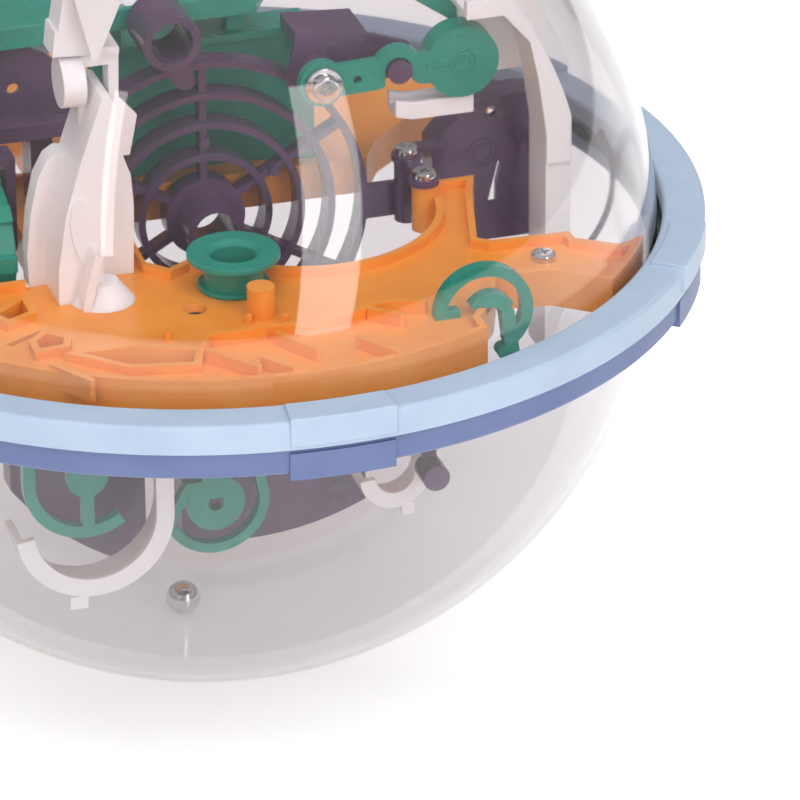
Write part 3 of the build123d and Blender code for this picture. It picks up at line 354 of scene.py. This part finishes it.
def crossHead(size, washer):
    clearSelection()
    bpy.ops.mesh.primitive_cylinder_add(vertices=screw["headSides"], radius=screw["headR"] * size,
                                        depth=screw["headH"], location=(0, 0, screw["headH"] / 2))
    head = bpy.context.object
    placeInMesh(head)
    top = screw["headH"] * screw["roundFrom"]
    selectWhere(head, "VERT", lambda vert: vert.co.z > top)
    bpy.ops.mesh.bevel(offset=screw["round"], segments=screw["roundSegments"], affect="EDGES")
    bpy.ops.object.mode_set(mode="OBJECT")
    selectWhere(head, "FACE", lambda face: face.normal.z < facingDown)
    bpy.ops.mesh.inset(thickness=screw["headR"] * size - screw["shankR"])
    bpy.ops.mesh.extrude_region_move(TRANSFORM_OT_translate={"value": (0, 0, -screw["shankL"])})
    bpy.ops.object.mode_set(mode="OBJECT")
    # two blades, narrower at the bottom, cut the cross
    for turn in (0, 90):
        clearSelection()
        bpy.ops.mesh.primitive_cube_add(size=1, location=(0, 0, screw["headH"]))
        blade = bpy.context.object
        blade.scale = (screw["crossL"] * 2 * size, screw["crossW"] * 2 * size, screw["crossD"] * 2)
        blade.rotation_euler = (0, 0, math.radians(turn + screw["crossTurn"]))
        placeInMesh(blade)
        low = screw["headH"] - screw["crossD"] * screw["crossLow"]
        selectWhere(blade, "VERT", lambda vert: vert.co.z < low)
        bpy.ops.transform.resize(value=(screw["crossTaper"], screw["crossTaper"], 1),
                                 center_override=(0, 0, 0))
        bpy.ops.object.mode_set(mode="OBJECT")
        cutWith(head, blade)
    pieces = [head]
    if washer:
        clearSelection()
        bpy.ops.mesh.primitive_cylinder_add(vertices=screw["washerSides"], radius=screw["washerR"],
                                            depth=screw["washerH"],
                                            location=(0, 0, screw["washerH"] / 2))
        plate = bpy.context.object
        placeInMesh(plate)
        applyModifier(plate, "BEVEL", width=screw["washerEdge"],
                      segments=screw["washerEdgeSegments"], limit_method="ANGLE")
        head.location = (0, 0, screw["washerH"] * screw["washerSeat"])
        placeInMesh(head)
        pieces.append(plate)
    return joinPieces(pieces, "screw")


def placeScrew(piece, at, faceFront, turn=0):
    piece.rotation_euler = (math.radians(90) if faceFront else 0, 0, math.radians(turn))
    piece.location = at
    placeInMesh(piece)


pan = crossHead(1.0, False)
heads = []
for place in deckPlaces:
    makeActive(pan)
    bpy.ops.object.duplicate()
    head = bpy.context.object
    placeScrew(head, place["at"], False, place["turn"])
    heads.append(head)
bpy.data.objects.remove(pan)
deckScrews = joinPieces(heads, "deckScrewHeads")
smoothByAngle(deckScrews)
dress(deckScrews, "steel")
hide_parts("deck_screws")
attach(deckScrews, "ball_frame")

pivotScrew = crossHead(pivot["size"], True)
placeScrew(pivotScrew, pivot["at"], True)
pivotScrew.name = "flipperScrewHead"
smoothByAngle(pivotScrew)
dress(pivotScrew, "steel")
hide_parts("flipper_screw")
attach(pivotScrew, "ball_frame")
print("screws done")

# the steel ball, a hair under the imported 8 mm so that it stays inside its box
ball = {"radius": 3.99 * mm, "segments": 96, "rings": 64, "smooth": 0.1, "smoothDegrees": 60}
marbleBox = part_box("marble")
marbleAt = [(marbleBox[0][i] + marbleBox[1][i]) / 2 for i in range(3)]
clearSelection()
bpy.ops.mesh.primitive_uv_sphere_add(segments=ball["segments"], ring_count=ball["rings"],
                                     radius=ball["radius"], location=marbleAt)
marble = bpy.context.object
placeInMesh(marble)
marble.name = "polishedMarble"
applyModifier(marble, "SMOOTH", factor=ball["smooth"], iterations=1)
smoothByAngle(marble, ball["smoothDegrees"])
dress(marble, "ball_steel")
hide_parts("marble")
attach(marble, "marble")
print("marble done")

# raised moulded marks: two plain rings with three short bars beside them, in millimetres
mark = {"rings": (2.9, 1.9), "wire": 0.28, "ringSegments": 64, "wireSegments": 10,
        "barRows": (-0.9, 0.0, 0.9), "barReach": 5.0, "barL": 3.4, "barDeep": 0.5, "barW": 0.42,
        "barEdge": 0.12, "barEdgeSegments": 2}
quadrantSpot = {"centre": (66.5 * mm, 6.2 * mm, 6.5 * mm), "size": 1.15}
flipperSpot = {"centre": (58 * mm, -6.5 * mm, 35 * mm), "size": 1.0}


def raisedMark(name, spot, body, slot):
    centre, size = spot["centre"], spot["size"]
    parts = []
    for radius in mark["rings"]:
        clearSelection()
        bpy.ops.mesh.primitive_torus_add(major_radius=radius * size * mm,
                                         minor_radius=mark["wire"] * mm,
                                         major_segments=mark["ringSegments"],
                                         minor_segments=mark["wireSegments"],
                                         rotation=(math.radians(90), 0, 0), location=centre)
        parts.append(bpy.context.object)
    for row in mark["barRows"]:
        clearSelection()
        bpy.ops.mesh.primitive_cube_add(size=1, location=(
            centre[0] - mark["barReach"] * size * mm, centre[1], centre[2] + row * size * mm))
        line = bpy.context.object
        line.scale = (mark["barL"] * size * mm, mark["barDeep"] * mm, mark["barW"] * mm)
        placeInMesh(line)
        applyModifier(line, "BEVEL", width=mark["barEdge"] * mm, segments=mark["barEdgeSegments"])
        parts.append(line)
    raised = joinPieces(parts, name)
    placeInMesh(raised)
    smoothByAngle(raised)
    dress(raised, slot)
    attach(raised, body)


raisedMark("quadrantMark", quadrantSpot, "ball_frame", "plum_plastic")

# round-edged lip that follows the quadrant's arc, standing just proud of its face; the angles are
# in degrees up from the right, round the arc's centre, and the sizes in millimetres
rim = {"radius": 23.3, "thick": 0.75, "centre": (74.6, 6.2, -4.0), "from": 31, "to": 146,
       "sides": 12, "steps": 64}
start = math.radians(rim["from"])
middle = Vector([c * mm for c in rim["centre"]])
arm = Vector((math.cos(start), 0, math.sin(start))) * rim["radius"] * mm
clearSelection()
bpy.ops.mesh.primitive_circle_add(vertices=rim["sides"], radius=rim["thick"] * mm, fill_type="NGON",
                                  location=middle + arm, rotation=(0, -start, 0))
lip = bpy.context.object
placeInMesh(lip)
bpy.ops.object.mode_set(mode="EDIT")
bpy.ops.mesh.select_all(action="SELECT")
bpy.ops.mesh.spin(steps=rim["steps"], angle=-math.radians(rim["to"] - rim["from"]), center=middle,
                  axis=(0, 1, 0))
bpy.ops.mesh.select_all(action="SELECT")
bpy.ops.mesh.remove_doubles(threshold=mergeGap)
bpy.ops.mesh.normals_make_consistent(inside=False)
bpy.ops.object.mode_set(mode="OBJECT")
lip.name = "quadrantLip"
smoothByAngle(lip)
dress(lip, slotOf["quadrant"])
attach(lip, "ball_frame")

raisedMark("flipperMark", flipperSpot, "flipper", "green_plastic")
print("marks done")

# opal acrylic shooting table, softly lit from below
table = {"size": 6.0, "gap": 0.05 * mm, "colour": "#EEEEEE", "glow": 0.4, "roughness": 0.9,
         "gloss": 0.1}
clearSelection()
bpy.ops.mesh.primitive_plane_add(size=table["size"],
                                 location=(0, 0, packedBox[0][2] - table["gap"]))
floor = bpy.context.object
placeInMesh(floor)
floor.name = "floor"
opal, opalTree = emptyMaterial("opalLightTable")
sheet = addNode(opalTree, "ShaderNodeBsdfPrincipled", {
    "Roughness": table["roughness"], "Specular IOR Level": table["gloss"],
    "Base Color": linearColour(table["colour"]), "Emission Color": (1, 1, 1, 1),
    "Emission Strength": table["glow"]})
addNode(opalTree, "ShaderNodeOutputMaterial", Surface=sheet.outputs[0])
floor.data.materials.append(opal)

# room: pale overhead, darker towards the horizon, so the clear and bright pieces have something
# to mirror
walls = {"overhead": 0.72, "horizon": 0.14, "paleFrom": 0.75}
world = bpy.data.worlds.new("studioRoom")
world.use_nodes = True
room = world.node_tree
direction = addNode(room, "ShaderNodeTexCoord").outputs["Generated"]
height = addNode(room, "ShaderNodeSeparateXYZ", Vector=direction).outputs["Z"]
level = addNode(room, "ShaderNodeMapRange", {
    "From Min": 0.0, "From Max": walls["paleFrom"], "To Min": walls["horizon"],
    "To Max": walls["overhead"]}, Value=height)
room.links.new(level.outputs[0], room.nodes["Background"].inputs[1])
room.nodes["Background"].inputs[0].default_value = (1, 1, 1, 1)
bpy.context.scene.world = world

# rectangles of even light that face the ball: two strips that the shells mirror, and two broad
# panels that only light it, so that they leave no glare on the shells
lamps = {
    "stripFront": {"place": (0.6, -1.62, 0.82), "size": (0.5, 2.2), "radiance": 4.0, "roll": -16,
                   "mirrored": True},
    "stripLeft": {"place": (-1.35, -1.45, 1.5), "size": (0.14, 1.8), "radiance": 4.0, "roll": 10,
                  "mirrored": True},
    "topPanel": {"place": (-0.3, -0.55, 2.2), "size": (1.7, 1.7), "radiance": 3.0, "roll": 0,
                 "mirrored": False},
    "fillPanel": {"place": (-1.15, -1.8, 1.0), "size": (1.3, 1.3), "radiance": 2.7, "roll": 0,
                  "mirrored": False},
}
for name, lamp in lamps.items():
    light = bpy.data.lights.new(name, "AREA")
    light.shape = "RECTANGLE"
    light.size, light.size_y = lamp["size"]
    light.energy = lamp["radiance"] * math.pi * lamp["size"][0] * lamp["size"][1]
    box = bpy.data.objects.new(name, light)
    bpy.context.scene.collection.objects.link(box)
    box.location = lamp["place"]
    box.rotation_euler = (-Vector(lamp["place"])).to_track_quat("-Z", "Y").to_euler()
    box.rotation_euler.rotate_axis("Z", math.radians(lamp["roll"]))
    box.visible_camera = False
    box.visible_glossy = lamp["mirrored"]
    box.visible_transmission = lamp["mirrored"]

# long lens, in front of the ball, a little to its left and above
shot = {"place": (-0.39814, -1.48587, 0.72366), "turn": (63.5180, 0.4315, -16.8189),
        "lens": 347.72, "sensor": 36, "farthest": 50}
lens = bpy.data.cameras.new("camera")
lens.lens = shot["lens"]
lens.sensor_width = shot["sensor"]
lens.clip_end = shot["farthest"]
camera = bpy.data.objects.new("camera", lens)
camera.location = shot["place"]
camera.rotation_euler = [math.radians(a) for a in shot["turn"]]
bpy.context.scene.collection.objects.link(camera)
bpy.context.scene.camera = camera
bpy.context.scene.view_settings.view_transform = "Standard"
print("studio ready")
